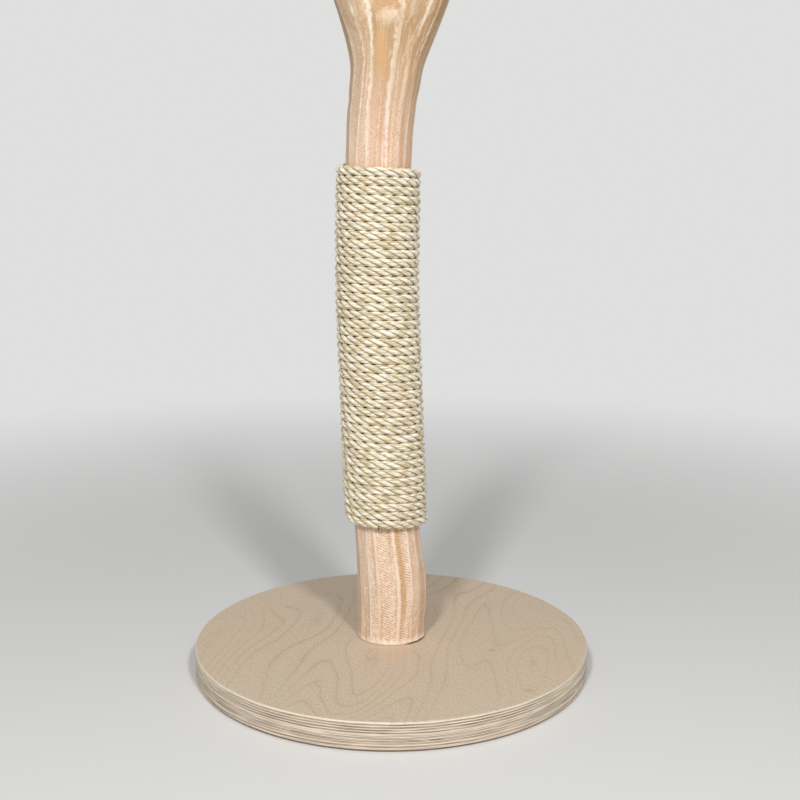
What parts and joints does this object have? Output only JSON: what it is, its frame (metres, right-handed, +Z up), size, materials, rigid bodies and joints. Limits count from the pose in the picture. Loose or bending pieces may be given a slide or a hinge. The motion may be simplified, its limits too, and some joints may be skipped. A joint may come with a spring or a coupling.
{
  "type": "cat scratching post",
  "caption": "Peeled natural log with a forked top, wrapped in sisal rope for scratching, standing on a round plywood base.",
  "frame": {"origin": "middle of the round base, on the floor", "axes": "+Z up the post, -Y towards the front that the picture shows, +X to the right as seen from the front"},
  "size_m": [0.4499, 0.45, 0.9125],
  "materials": {
    "plywood": "oiled birch multiplex, fine matt",
    "log": "peeled and sanded, matt",
    "sisal": "natural fibre rope, matt",
    "steel": "zinc plated",
    "felt": "pressed felt"
  },
  "bodies": {
    "root": {"base_plate": "plywood", "forked_log": "log", "sisal_rope": "sisal", "centre_lag_screw": "steel", "lag_washer": "steel", "side_screw_1": "steel", "side_screw_2": "steel", "side_screw_3": "steel", "rope_staple_low_front": "steel", "rope_staple_low_end": "steel", "rope_staple_top_side": "steel", "rope_staple_top_end": "steel", "felt_glide_1": "felt", "felt_glide_2": "felt", "felt_glide_3": "felt", "felt_glide_4": "felt", "felt_glide_5": "felt", "felt_glide_6": "felt"}
  },
  "joints": []
}
